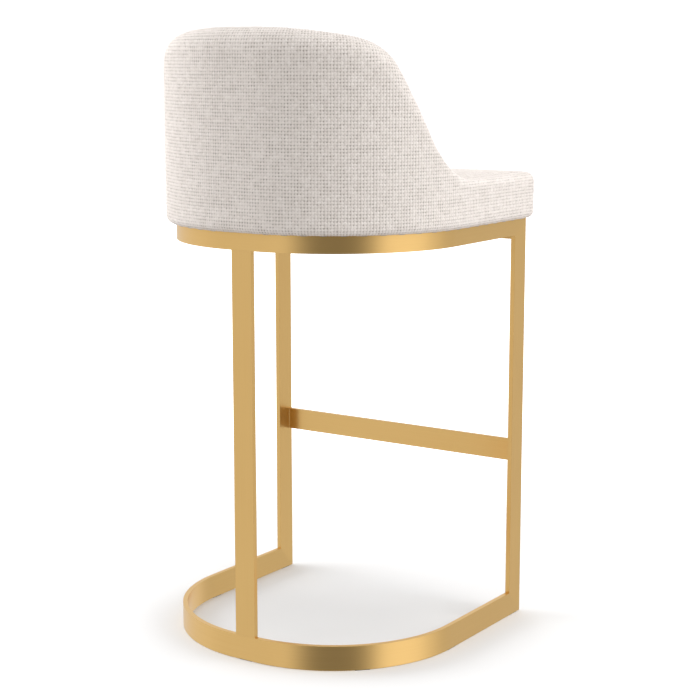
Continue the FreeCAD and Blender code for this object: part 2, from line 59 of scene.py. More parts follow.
# ---- objects and nodes
def new_object(name, data):
    made = bpy.data.objects.new(name, data)
    bpy.context.scene.collection.objects.link(made)
    return made


class Nodes:
    """Short ways to add nodes to a tree. An input takes a value, or a socket to link from."""

    def __init__(self, tree):
        self.tree = tree

    def put(self, socket, value):
        if isinstance(value, bpy.types.NodeSocket):
            self.tree.links.new(value, socket)
        else:
            socket.default_value = value

    def add(self, kind, inputs={}, **settings):
        node = self.tree.nodes.new(kind if "Node" in kind else "ShaderNode" + kind)
        for key, value in settings.items():
            setattr(node, key, value)
        for socket, value in inputs.items():
            self.put(node.inputs[socket], value)
        return node

    def math(self, operation, *values):
        return self.add("Math", dict(enumerate(values)), operation=operation).outputs[0]

    def plus(self, *values):
        return self.math("ADD", *values)

    def times(self, *values):
        return self.math("MULTIPLY", *values)

    def spread(self, value, low, high, to_low=0.0, to_high=1.0):
        inputs = {"Value": value, "From Min": low, "From Max": high, "To Min": to_low, "To Max": to_high}
        return self.add("MapRange", inputs, interpolation_type="SMOOTHSTEP").outputs["Result"]


class Finish(Nodes):
    """A material on a Principled shader."""

    def __init__(self, name, **sockets):
        self.material = bpy.data.materials.new(name)
        self.material.use_nodes = True
        super().__init__(self.material.node_tree)
        self.shader = self.tree.nodes["Principled BSDF"]
        for socket, value in sockets.items():
            self.give(socket.replace("_", " "), value)

    def give(self, socket, value):
        self.put(self.shader.inputs[socket], value)

    def place(self):
        """The three Object coordinates."""
        split = self.add("SeparateXYZ", {0: self.add("TexCoord").outputs["Object"]})
        return split.outputs[0], split.outputs[1], split.outputs[2]

    def vector(self, *parts):
        """A vector of scaled coordinates: each part is a socket and its factor."""
        scaled = [self.times(part, factor) for part, factor in parts]
        return self.add("CombineXYZ", dict(enumerate(scaled))).outputs[0]

    def noise(self, vector, detail, roughness=0.5, scale=1.0):
        inputs = {"Vector": vector, "Scale": scale, "Detail": detail, "Roughness": roughness}
        return self.add("TexNoise", inputs).outputs["Fac"]

    def specks(self, scale, detail):
        """Noise of the same size in every direction."""
        return self.noise(self.vector(*((part, scale) for part in self.place())), detail)

    def sum_of(self, first, first_share, second, second_share):
        return self.plus(self.times(first, first_share), self.times(second, second_share))

    def mix(self, factor, first, second):
        node = self.add("Mix", {}, data_type="RGBA")
        for socket, value in ((0, factor), (6, first), (7, second)):
            self.put(node.inputs[socket], value)
        return node.outputs[2]

    def colour(self, value, low, high, dark, pale):
        self.give("Base Color", self.mix(self.spread(value, low, high), dark, pale))

    def bump(self, height, distance, strength=1.0, edge=None):
        inputs = {"Height": height, "Distance": distance, "Strength": strength}
        if edge is not None:
            inputs["Normal"] = self.add("Bevel", {"Radius": edge}, samples=4).outputs[0]
        self.give("Normal", self.add("Bump", inputs).outputs[0])


# ---- camera
CAMERA_PLACE = (-1.5923, 2.3249, 0.9687)
CAMERA_AZIMUTH = 213.61     # degrees, 0 looks along +Y
CAMERA_ELEVATION = 9.90
CAMERA_LENS = 87.17         # millimetres
CAMERA_SENSOR = 36.0


def make_camera():
    data = bpy.data.cameras.new("camera")
    data.lens = CAMERA_LENS
    data.sensor_width = CAMERA_SENSOR
    data.clip_start, data.clip_end = 0.05, 60.0
    camera = new_object("camera", data)
    turn, rise = math.radians(CAMERA_AZIMUTH), math.radians(CAMERA_ELEVATION)
    forward = Vector((-math.sin(turn) * math.cos(rise), math.cos(turn) * math.cos(rise), -math.sin(rise)))
    camera.location = CAMERA_PLACE
    camera.rotation_euler = forward.to_track_quat("-Z", "Y").to_euler()
    bpy.context.scene.camera = camera


# ---- light and floor
FLOOR_HALF = 8.0
FLOOR_PALE = (0.85, 0.857, 0.868, 1)
FLOOR_BOUNCE = (0.40, 0.39, 0.38, 1)  # what it throws back on the stool
FLOOR_NEAR, FLOOR_FAR = 0.65, 1.5  # from the stool, where its painted glow starts and is full
ROOM_LIGHT = 0.80           # the room's pale walls
ROOM_TINT = (1.0, 0.985, 0.968, 1)
SEEN_WHITE = 1.1            # the backdrop, where the camera sees it
WALL_TONES = (              # direction, where it fades in, where it is full, what it adds
    ((-0.5535, 0.8329, 0.0), 0.74, 0.985, -0.56),
    ((-0.9980, -0.0630, 0.0), 0.88, 0.985, 0.28),
    ((0.6480, 0.7615, 0.0), 0.86, 0.985, -0.06),
    ((-0.5504, -0.8349, 0.0), 0.93, 0.995, -0.20))
SUN_STRENGTH = 1.0
SUN_ANGLE = 32.0
SOFTBOX_SIZE = (1.8, 2.2)
SOFTBOX_AIM = Vector((0, 0, 0.75))  # the middle of the seat
SOFTBOXES = (("left_softbox", (2.31, 0.65, 1.05), 46),
             ("right_softbox", (-2.27, -0.77, 1.05), 28),
             ("fill", (-1.66, 2.5, 1.3), 16))


def make_lamp(name, kind, place, power):
    data = bpy.data.lights.new(name, kind)
    data.energy = power
    lamp = new_object(name, data)
    lamp.location = place
    return lamp


def make_lamps():
    """A broad light from above, and soft lamps round the stool that the metal doesn't mirror."""
    make_lamp("overhead", "SUN", (0, 0, 3), SUN_STRENGTH).data.angle = math.radians(SUN_ANGLE)
    for name, place, power in SOFTBOXES:
        lamp = make_lamp(name, "AREA", place, power)
        lamp.data.shape = "RECTANGLE"
        lamp.data.size, lamp.data.size_y = SOFTBOX_SIZE
        lamp.rotation_euler = (SOFTBOX_AIM - Vector(place)).to_track_quat("-Z", "Y").to_euler()
        lamp.visible_glossy = False


def make_world():
    """Pale walls, dimmer or brighter in some directions, and white where the camera sees them."""
    world = bpy.data.worlds.new("studio")
    bpy.context.scene.world = world
    world.use_nodes = True
    nodes = Nodes(world.node_tree)
    nodes.tree.nodes.clear()
    direction = nodes.add("TexCoord").outputs["Generated"]
    level = nodes.add("VectorMath", {0: direction, 1: (1, 1, 0)}, operation="MULTIPLY").outputs[0]
    level = nodes.add("VectorMath", {0: level}, operation="NORMALIZE").outputs[0]
    strength = ROOM_LIGHT
    for towards, start, full, amount in WALL_TONES:
        near = nodes.add("VectorMath", {0: level, 1: towards}, operation="DOT_PRODUCT").outputs["Value"]
        strength = nodes.plus(strength, nodes.spread(near, start, full, 0.0, amount))
    room = nodes.add("Background", {"Color": ROOM_TINT, "Strength": strength}).outputs[0]
    seen = nodes.add("Background", {"Color": (1, 1, 1, 1), "Strength": SEEN_WHITE}).outputs[0]
    by_camera = nodes.add("LightPath").outputs["Is Camera Ray"]
    mix = nodes.add("MixShader", {0: by_camera, 1: room, 2: seen})
    nodes.add("OutputWorld", {"Surface": mix.outputs[0]})


def make_floor():
    low, half = CAD_LOW.z, FLOOR_HALF
    corners = [(-half, -half, low), (half, -half, low), (half, half, low), (-half, half, low)]
    mesh = bpy.data.meshes.new("floor")
    mesh.from_pydata(corners, [], [(0, 1, 2, 3)])
    floor = new_object("floor", mesh)
    finish = Finish("pale_floor", Roughness=0.85, Emission_Color=(1, 1, 1, 1))
    seen = finish.add("LightPath").outputs["Is Camera Ray"]
    finish.give("Base Color", finish.mix(seen, FLOOR_BOUNCE, FLOOR_PALE))
    place = finish.add("TexCoord").outputs["Object"]
    distance = finish.add("VectorMath", {0: place}, operation="LENGTH").outputs["Value"]
    # painted glow: the floor shines white for the camera from FLOOR_NEAR outwards, so it stays darker near
    # the stool
    finish.give("Emission Strength", finish.times(seen, finish.spread(distance, FLOOR_NEAR, FLOOR_FAR)))
    mesh.materials.append(finish.material)
    floor.visible_glossy = False


# ---- mesh helpers
BORDER_ROOM = 0.3           # least room between a border and the first row, in steps


def column_faces(counts, row, closed=False):
    """Faces between neighbouring columns of points, and where each column starts.

    Rows are numbered, and where one column is longer its spare rows run together at the end.
    """
    start = np.cumsum(counts) - counts
    first, last = row[start], row[start + counts - 1]
    faces = []
    for here in range(len(counts) if closed else len(counts) - 1):
        there = (here + 1) % len(counts)
        rows = np.arange(min(first[here], first[there]), max(last[here], last[there]))
        left, right = ([start[c] + np.clip(rows + k, first[c], last[c]) - first[c] for k in (0, 1)]
                       for c in (here, there))
        faces.append(np.stack([left[0], right[0], right[1], left[1]], 1))
    return np.concatenate(faces), start


def point_normals(points, faces):
    a, b, c, d = (points[faces[:, k]] for k in range(4))
    across = np.cross(c - a, d - b)
    normals = np.zeros_like(points)
    for k in range(4):
        np.add.at(normals, faces[:, k], across)
    return normals / np.maximum(np.linalg.norm(normals, axis=1, keepdims=True), 1e-12)


def band(lower, upper):
    """Faces between two rings of the same number of points."""
    return np.stack([lower, np.roll(lower, -1), np.roll(upper, -1), upper], 1)


def mesh_piece(name, points, faces, corner_uv=None, material=None):
    """A smooth mesh object from four-corner faces, of which some have two corners in one point."""
    keep = faces != np.roll(faces, -1, axis=1)
    proper = (keep.sum(1) >= 3) & (faces[:, 0] != faces[:, 2]) & (faces[:, 1] != faces[:, 3])
    keep &= proper[:, None]
    totals = keep.sum(1)[proper]
    mesh = bpy.data.meshes.new(name)
    mesh.vertices.add(len(points))
    mesh.vertices.foreach_set("co", np.asarray(points, np.float32).ravel())
    mesh.loops.add(int(keep.sum()))
    mesh.loops.foreach_set("vertex_index", faces[keep].astype(np.int32))
    mesh.polygons.add(len(totals))
    mesh.polygons.foreach_set("loop_start", np.concatenate([[0], np.cumsum(totals)[:-1]]).astype(np.int32))
    mesh.polygons.foreach_set("loop_total", totals.astype(np.int32))
    mesh.polygons.foreach_set("use_smooth", np.ones(len(totals), bool))
    if corner_uv is not None:
        layer = mesh.uv_layers.new(name="cloth")
        layer.uv.foreach_set("vector", corner_uv[keep].astype(np.float32).ravel())
    mesh.update(calc_edges=True)
    mesh.validate()
    if material is not None:
        mesh.materials.append(material)
    return new_object(name, mesh)


def eased(t):
    """0 up to 0, 1 from 1 on, smooth between."""
    t = np.clip(t, 0, 1)
    return t * t * (3 - 2 * t)


def nearest_on(line_points, places):
    """Distance from each place to the nearest of a line's points, and which point that is."""
    tree = KDTree(len(line_points))
    for k, point in enumerate(line_points):
        tree.insert((point[0], point[1], 0.0), k)
    tree.balance()
    found = [tree.find((place[0], place[1], 0.0))[1:] for place in places]
    return np.array([f[1] for f in found]), np.array([f[0] for f in found])


def fill_outline(outline, xs, split, step):
    """Columns of points at xs across an outline, with rows 'step' apart and its border at both ends.

    split is a place along the depth between the outline's front and its rear.
    """
    front, rear = outline[outline[:, 1] < split], outline[outline[:, 1] >= split]
    front, rear = (line[np.argsort(line[:, 0])] for line in (front, rear))
    lows, highs = (np.interp(xs, line[:, 0], line[:, 1]) for line in (front, rear))
    flat, rows, counts = [], [], []
    for x, low, high in zip(xs, lows, highs):
        first = int(np.ceil(low / step + BORDER_ROOM))
        last = int(np.floor(high / step - BORDER_ROOM))
        ys = np.concatenate([[low], step * np.arange(first, last + 1), [high]])
        flat.append(np.column_stack([np.full(len(ys), x), ys]))
        rows.append(np.arange(first - 1, last + 2))
        counts.append(len(ys))
    return np.concatenate(flat), np.concatenate(rows), np.array(counts), lows, highs


# ---- plan of the upholstery
COVER_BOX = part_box("outer_cover")
RING_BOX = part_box("top_ring")
HALF_WIDTH = COVER_BOX[1].x
REAR = COVER_BOX[1].y
FRONT = COVER_BOX[0].y
SEAT_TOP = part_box("seat_cover")[1].z
BACK_TOP = COVER_BOX[1].z
COVER_FOOT = RING_BOX[1].z + 0.0004
FOAM_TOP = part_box("seat_foam")[1].z
BOARD_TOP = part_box("seat_board")[1].z
OVERHANG = HALF_WIDTH - RING_BOX[1].x
FRAME_BEND = 0.230          # outer radius of the frame's two rear bends
FRONT_CORNER = 0.030
ARM_RUN = 0.196             # rear of the frame to where the arm's slope meets the seat
ARM_SLOPE = math.radians(62.7)
CREST_SLOPE = math.radians(13.3)
ARM_FOOT = 0.125            # hollow radius at the foot of the arm
SHOULDER = 0.095            # round radius where the arm meets the crest


class Plan:
    """The D-shaped plan at some offset outside the frame, measured along from the middle of the rear."""

    def __init__(self, offset):
        self.half_width = RING_BOX[1].x + offset
        self.rear = RING_BOX[1].y + offset
        self.front = FRONT + OVERHANG - offset
        self.bend = FRAME_BEND + offset
        self.corner = FRONT_CORNER + offset - OVERHANG if offset > OVERHANG - FRONT_CORNER else 0.001
        self.bend_x = self.half_width - self.bend
        self.bend_y = self.rear - self.bend
        self.to_side = self.bend_x + self.bend * math.pi / 2
        self.to_corner = self.to_side + self.bend_y - self.front - self.corner
        self.to_front = self.to_corner + self.corner * math.pi / 2
        self.half_round = self.to_front + self.half_width - self.corner

    def at(self, along):
        """Points and outward directions on the plan."""
        along = (np.asarray(along, float) + self.half_round) % (2 * self.half_round) - self.half_round
        side = np.where(along < 0, -1.0, 1.0)
        left = np.abs(along)
        turn = np.clip((left - self.bend_x) / self.bend, 0, math.pi / 2)
        corner_turn = np.clip((left - self.to_corner) / self.corner, 0, math.pi / 2)
        sideways = np.clip(left - self.to_side, 0, self.to_corner - self.to_side)
        x = np.minimum(left, self.bend_x) + self.bend * np.sin(turn) - self.corner * (1 - np.cos(corner_turn))
        x = x - np.maximum(left - self.to_front, 0)
        y = self.bend_y + self.bend * np.cos(turn) - sideways - self.corner * np.sin(corner_turn)
        facing = turn + corner_turn
        return np.stack([side * x, y], -1), np.stack([side * np.sin(facing), np.cos(facing)], -1)


OUTSIDE = Plan(OVERHANG)
HALF_ROUND = OUTSIDE.half_round
PER_YARN = 2                # mesh points for each yarn: its gap and its back
STEP = HALF_ROUND / round(HALF_ROUND / 0.0050) / PER_YARN
RISE = 0.0052 / PER_YARN    # the weft lies a little wider than the warp


def crest_height(y):
    """Height of the finished edge over a place along the depth: seat rim, arm slope, crest."""
    foot_y = RING_BOX[1].y - ARM_RUN
    tan_arm, tan_crest = math.tan(ARM_SLOPE), math.tan(CREST_SLOPE)
    shoulder_y = (BACK_TOP - SEAT_TOP + foot_y * tan_arm - REAR * tan_crest) / (tan_arm - tan_crest)
    foot_reach = ARM_FOOT * math.tan(ARM_SLOPE / 2)
    shoulder_reach = SHOULDER * math.tan((ARM_SLOPE - CREST_SLOPE) / 2)
    hollow_start = foot_y - foot_reach
    hollow_end = foot_y + foot_reach * math.cos(ARM_SLOPE)
    round_start = shoulder_y - shoulder_reach * math.cos(ARM_SLOPE)
    round_end = shoulder_y + shoulder_reach * math.cos(CREST_SLOPE)
    slope_z = SEAT_TOP + (y - foot_y) * tan_arm
    crest_z = BACK_TOP + (y - REAR) * tan_crest
    hollow_y = np.clip(y - hollow_start, 0, ARM_FOOT)
    hollow_z = SEAT_TOP + ARM_FOOT - np.sqrt(ARM_FOOT**2 - hollow_y**2)
    centre_y = round_end + SHOULDER * math.sin(CREST_SLOPE)
    centre_z = BACK_TOP + (round_end - REAR) * tan_crest - SHOULDER * math.cos(CREST_SLOPE)
    round_z = centre_z + np.sqrt(np.maximum(SHOULDER**2 - (y - centre_y) ** 2, 0))
    return np.select([y < hollow_start, y < hollow_end, y < round_start, y < round_end],
                     [np.full_like(y, SEAT_TOP), hollow_z, slope_z, round_z], crest_z)


# ---- edge of the tub
EDGE_RADIUS = 0.015         # rounding of the padded edge round the seat and up the arms
CREST_WIDTH = 0.0235        # the back's edge is rounder: half its width,
CREST_HEIGHT = 0.034        # and how far down its rounding starts
BACK_WIDTH = 0.047          # across the edge on the back
RIM_WIDTH = 0.030           # across the edge round the seat
RIM_DIP = math.radians(42)  # how far the rim turns down beside the seat cushion
BACK_DIP = math.radians(96)
FOOT_RADIUS = 0.011         # rounding of the lower edge
HEM = 0.0025                # flat hem under the lower edge
HEM_LIFT = 0.0018           # the cover's unseen inner side ends this far above its foot
EDGE_TURN_IN = 0.0012       # the roll's last row of yarn dips into the seam
EDGE_SAMPLE = 0.0005        # spacing of the points that describe the edge line
SHELL_CLEAR = 0.0059        # padding outside the plywood shell
CREST_FROM, CREST_FULL = 0.80, 0.99  # heights between which the rounder crest takes over
EDGE_BELOW = 0.05           # nothing this far below the edge line rolls over
EDGE_SOFTEN = 30            # points to each side over which the line's corners are softened
INNER_TALL = 1.1            # the roll's inner rounding is at most this much taller than wide
EDGE_REACH = 0.14           # furthest the edge roll looks along the wall for its line


BACK_FROM, BACK_OVER = 0.004, 0.075  # above the seat, where the back starts and its rise to full


def back_share(height):
    """0 on the seat's low rim, 1 on the back, smooth between."""
    return eased((height - SEAT_TOP - BACK_FROM) / BACK_OVER)


def edge_line():
    """The line on the flattened wall where the cloth starts to roll over, and its upward directions."""
    along = np.arange(-HALF_ROUND - 2 * EDGE_REACH, HALF_ROUND + 2 * EDGE_REACH, EDGE_SAMPLE)
    height = crest_height(OUTSIDE.at(along)[0][:, 1])
    soften = np.hanning(2 * EDGE_SOFTEN + 1)
    height = np.convolve(np.pad(height, EDGE_SOFTEN, mode="edge"), soften / soften.sum(), mode="valid")
    rise = np.gradient(height, EDGE_SAMPLE)
    up = np.stack([-rise, np.ones_like(rise)], 1) / np.sqrt(1 + rise**2)[:, None]
    crest = eased((height - CREST_FROM) / (CREST_FULL - CREST_FROM))
    tall = EDGE_RADIUS + (CREST_HEIGHT - EDGE_RADIUS) * crest
    wide = EDGE_RADIUS + (CREST_WIDTH - EDGE_RADIUS) * crest
    return np.stack([along, height], 1) - up * tall[:, None], up, back_share(height), tall, wide


EDGE, EDGE_UP, EDGE_SHARE, EDGE_TALL, EDGE_WIDE = edge_line()
EDGE_MEAN = np.sqrt((EDGE_TALL**2 + EDGE_WIDE**2) / 2)
EDGE_DIP = RIM_DIP + (BACK_DIP - RIM_DIP) * EDGE_SHARE
EDGE_FLAT = np.maximum(RIM_WIDTH + (BACK_WIDTH - RIM_WIDTH) * EDGE_SHARE
                       - EDGE_WIDE * (1 + np.sin(EDGE_DIP)), 0)
EDGE_PATH = EDGE_MEAN * (math.pi / 2 + EDGE_DIP) + EDGE_FLAT
EDGE_INNER = np.minimum(EDGE_TALL, INNER_TALL * EDGE_WIDE)  # how tall the roll's inner rounding is
EDGE_END = EDGE + EDGE_UP * (EDGE_TALL - EDGE_INNER * (1 - np.cos(EDGE_DIP)))[:, None]


EDGE_ORDER = np.argsort(EDGE_END[:, 0])
WALL_SAMPLE = 0.001         # spacing of the points that a place is looked up among


def on_border(along, values):
    """A value of the edge line, at the roll's inner border."""
    return np.interp(along, EDGE_END[EDGE_ORDER, 0], values[EDGE_ORDER])


def along_outside(places):
    """How far along the outer wall the places lie."""
    wall = np.arange(-HALF_ROUND, HALF_ROUND, WALL_SAMPLE)
    return wall[nearest_on(OUTSIDE.at(wall)[0], places)[1]]


def rolled(along, height):
    """Where points of the flattened outer cloth end up, over the edge and under the hem."""
    under = COVER_FOOT + FOOT_RADIUS - height
    turn = np.clip(under / FOOT_RADIUS, 0, math.pi / 2)
    inward = FOOT_RADIUS * (1 - np.cos(turn)) + np.maximum(under - FOOT_RADIUS * math.pi / 2, 0)
    out_along = along.copy()
    out_height = np.where(under > 0, COVER_FOOT + FOOT_RADIUS * (1 - np.sin(turn)), height)
    line_height = np.interp(along, EDGE[:, 0], EDGE[:, 1])
    for k in np.nonzero(height > line_height - EDGE_BELOW)[0]:
        near = slice(*np.searchsorted(EDGE[:, 0], (along[k] - EDGE_REACH, along[k] + EDGE_REACH)))
        offset = np.array((along[k], height[k])) - EDGE[near]
        nearest = int(np.argmin((offset**2).sum(1)))
        up = EDGE_UP[near][nearest]
        path = float(offset[nearest] @ up)
        if path <= 0:
            continue
        roll = (EDGE_TALL, EDGE_WIDE, EDGE_MEAN, EDGE_FLAT, EDGE_INNER)
        tall, wide, mean, flat, inner_tall = (line[near][nearest] for line in roll)
        over = mean * math.pi / 2
        if path < over:
            lift, depth = tall * math.sin(path / mean), wide * (1 - math.cos(path / mean))
        elif path < over + flat:
            lift, depth = tall, wide + path - over
        else:
            dip = (path - over - flat) / mean
            lift = tall - inner_tall * (1 - math.cos(dip))
            depth = wide * (1 + math.sin(dip)) + flat
        out_along[k], out_height[k] = EDGE[near][nearest] + offset[nearest] - path * up + up * lift
        inward[k] = depth
    place, normal = OUTSIDE.at(out_along)
    return np.column_stack([place - normal * inward[:, None], out_height])


# ---- weave
GAP_DEPTH = 0.0009
YARN_BACK = 0.0003
GROOVE_SHARE = 0.3          # how deep the grooves between yarns are, beside the pits
SLUB = (0.00013, 0.00008, 0.0001)  # unevenness of a crossing, of a warp yarn and of a weft yarn
SLUB_MOST = 0.0004
SLUB_CELLS = 64             # yarns before the unevenness repeats
WARP_ROW, WEFT_COLUMN = 7, 3  # places in the table that serve whole yarns


def weave_relief(column, row, seed):
    """Height of the cloth at mesh points: pits where yarns cross apart, backs on the yarns."""
    rng = np.random.default_rng(seed)
    table = rng.normal(0, 1, (SLUB_CELLS, SLUB_CELLS))
    gap_x, gap_y = column % PER_YARN == 0, row % PER_YARN == 0
    cell_x, cell_y = column // PER_YARN % SLUB_CELLS, row // PER_YARN % SLUB_CELLS
    grooves = np.where(gap_x | gap_y, -GROOVE_SHARE * GAP_DEPTH, YARN_BACK)
    height = np.where(gap_x & gap_y, -GAP_DEPTH, grooves)
    slub = (SLUB[0] * table[cell_x, cell_y] + SLUB[1] * table[cell_x, WARP_ROW]
            + SLUB[2] * table[WEFT_COLUMN, cell_y])
    return height + np.clip(slub, -SLUB_MOST, SLUB_MOST)


def woven(points, faces, relief):
    """The points moved out by the relief of the cloth."""
    return points + point_normals(points, faces) * relief[:, None]


def cloth_piece(name, points, extra, faces, across, up, material):
    """A padded piece: woven points, which lie across and up so many yarns, and its hidden sides."""
    hidden = np.zeros(sum(len(part) for part in extra))
    cloth = np.stack([np.concatenate([yarns, hidden])[faces] for yarns in (across, up)], -1)
    return mesh_piece(name, np.concatenate([points] + extra), faces, cloth, material)


# ---- outer cover of the tub
def make_tub(material):
    columns = int(round(2 * HALF_ROUND / STEP))
    along = -HALF_ROUND + STEP * np.arange(columns)
    bottom = COVER_FOOT + FOOT_RADIUS * (1 - math.pi / 2) - HEM
    border = EDGE + EDGE_UP * EDGE_PATH[:, None]
    order = np.argsort(border[:, 0])
    top = np.interp(along, border[order, 0], border[order, 1])
    counts = np.ceil((top - bottom) / RISE - 0.35).astype(int) + 1
    flat = []
    for c in range(columns):
        heights = bottom + RISE * np.arange(counts[c])
        heights[-1] = top[c]
        flat.append(np.column_stack([np.full(counts[c], along[c]), heights]))
    flat = np.concatenate(flat)
    points = rolled(flat[:, 0], flat[:, 1])
    column = np.repeat(np.arange(columns), counts)
    row = np.concatenate([np.arange(n) for n in counts])
    faces, start = column_faces(counts, row, closed=True)
    faces = faces[:, ::-1]
    end = start + counts - 1
    relief = weave_relief(column, row, 11)
    relief[end] = -EDGE_TURN_IN
    relief[start] = 0.0
    points = woven(points, faces, relief)
    place, normal = OUTSIDE.at(along)
    inner = place - normal * SHELL_CLEAR
    line_height = np.interp(along, EDGE[:, 0], EDGE[:, 1])
    foot_height = np.full(columns, COVER_FOOT + HEM_LIFT)
    extra = [np.column_stack([inner, line_height]), np.column_stack([inner, foot_height])]
    rings = [end] + [len(points) + columns * k + np.arange(columns) for k in range(2)] + [start]
    closing = [band(rings[k + 1], rings[k]) for k in range(3)]
    all_points = np.concatenate([points] + extra)
    all_faces = np.concatenate([faces] + closing)
    u = np.concatenate([column / PER_YARN, np.zeros(2 * columns)])[all_faces]
    v = np.concatenate([row / PER_YARN, np.zeros(2 * columns)])[all_faces]
    whole_turn = columns / PER_YARN
    u = np.where((u.max(1) - u.min(1) > whole_turn / 2)[:, None] & (u < whole_turn / 2), u + whole_turn, u)
    return mesh_piece("tub_cover", all_points, all_faces, np.stack([u, v], -1), material)


# ---- padding that swells
SIM_FRAMES = 20
SIM_CELLS = 4               # a simulated cell is this many mesh steps wide
SIM_PRESSURE = 5.0
SEAT_CAP, BACK_CAP = 0.0085, 0.009  # furthest that a point of each may move


def swelled(place, inside, size, spacing, cap):
    """How far padded cloth swells out, on a lattice of size (across, up) with cells of 'spacing'.

    place(u, v) gives the cloth at rest and inside(u, v) says which lattice points it has. The cloth
    is held all round its border, and no point moves further than cap.
    """
    across, up = np.meshgrid(np.arange(size[0]), np.arange(size[1]), indexing="ij")
    u, v = across.ravel() * spacing[0], up.ravel() * spacing[1]
    has = inside(u, v).reshape(size)
    number = np.cumsum(has.ravel()).reshape(size) - 1
    cell = has[:-1, :-1] & has[1:, :-1] & has[1:, 1:] & has[:-1, 1:]
    i, j = np.nonzero(cell)
    faces = np.stack([number[i, j], number[i + 1, j], number[i + 1, j + 1], number[i, j + 1]], 1)
    around = np.zeros(size, int)
    for di in (0, 1):
        for dj in (0, 1):
            around[di:size[0] - 1 + di, dj:size[1] - 1 + dj] += cell
    held = (around < 4)[has]
    points = place(u, v)[has.ravel()]
    normals = point_normals(points, faces)
    piece = mesh_piece("swelling_cloth", points, faces)
    group = piece.vertex_groups.new(name="held")
    group.add([int(k) for k in np.nonzero(held)[0]], 1.0, "REPLACE")
    cloth = piece.modifiers.new("cloth", "CLOTH")
    cloth.settings.quality = 6
    cloth.settings.mass = 0.35
    cloth.settings.tension_stiffness = cloth.settings.compression_stiffness = 12.0
    cloth.settings.shear_stiffness = 6.0
    cloth.settings.bending_stiffness = 3.0
    cloth.settings.use_pressure = True
    cloth.settings.uniform_pressure_force = SIM_PRESSURE
    cloth.settings.effector_weights.gravity = 0.0
    cloth.settings.vertex_group_mass = "held"
    cloth.point_cache.frame_end = SIM_FRAMES
    scene = bpy.context.scene
    for number_of_frame in range(1, SIM_FRAMES + 1):
        scene.frame_set(number_of_frame)
    moved = piece.evaluated_get(bpy.context.evaluated_depsgraph_get()).to_mesh()
    now = np.empty(len(points) * 3, np.float32)
    moved.vertices.foreach_get("co", now)
    outwards = ((now.reshape(-1, 3) - points) * normals).sum(1)
    data = piece.data
    bpy.data.objects.remove(piece)
    bpy.data.meshes.remove(data)
    scene.frame_set(1)
    lattice = np.zeros(size)
    lattice[has] = np.clip(outwards, -cap, cap)
    return lattice


def sample_lattice(lattice, u, v):
    """The lattice's value between its points, smoothed over half a cell."""
    total = np.zeros(len(u))
    for du in (-0.25, 0.25):
        for dv in (-0.25, 0.25):
            a = np.clip(u + du, 0, lattice.shape[0] - 1.001)
            b = np.clip(v + dv, 0, lattice.shape[1] - 1.001)
            i, j = a.astype(int), b.astype(int)
            a, b = a - i, b - j
            total += (lattice[i, j] * (1 - a) * (1 - b) + lattice[i + 1, j] * a * (1 - b)
                      + lattice[i, j + 1] * (1 - a) * b + lattice[i + 1, j + 1] * a * b)
    return total / 4


# ---- seat cushion
CUSHION_RIM = -0.009        # plan of the cushion under the rim, from the frame's outer face
CUSHION_BACK = -0.0285      # and where it meets the inside of the back
CUSHION_EDGE = 0.022        # rounding of its edge
CUSHION_DROP = 0.017        # from the finished seat down to the cushion's border
CUSHION_CROWN = 0.0035
CROWN_REACH = 0.13
CUSHION_BLOCK = -0.046      # the firm foam below stays inside the brackets
ROUND_POWER = 2.5
CUSHION_SINK = 0.002        # its hidden side goes this far into the foam below
HAIR = 0.0005               # a small clearance
CUSHION_SPLIT = 0.08        # from the front to where its front outline ends


def cushion_outline():
    """The cushion's border, tucked under the rim and against the back."""
    plan = Plan(CUSHION_RIM)
    along = np.linspace(-plan.half_round, plan.half_round, 2400, endpoint=False)
    place, normal = plan.at(along)
    share = on_border(along_outside(place), EDGE_SHARE)
    return place + normal * ((CUSHION_BACK - CUSHION_RIM) * share)[:, None]


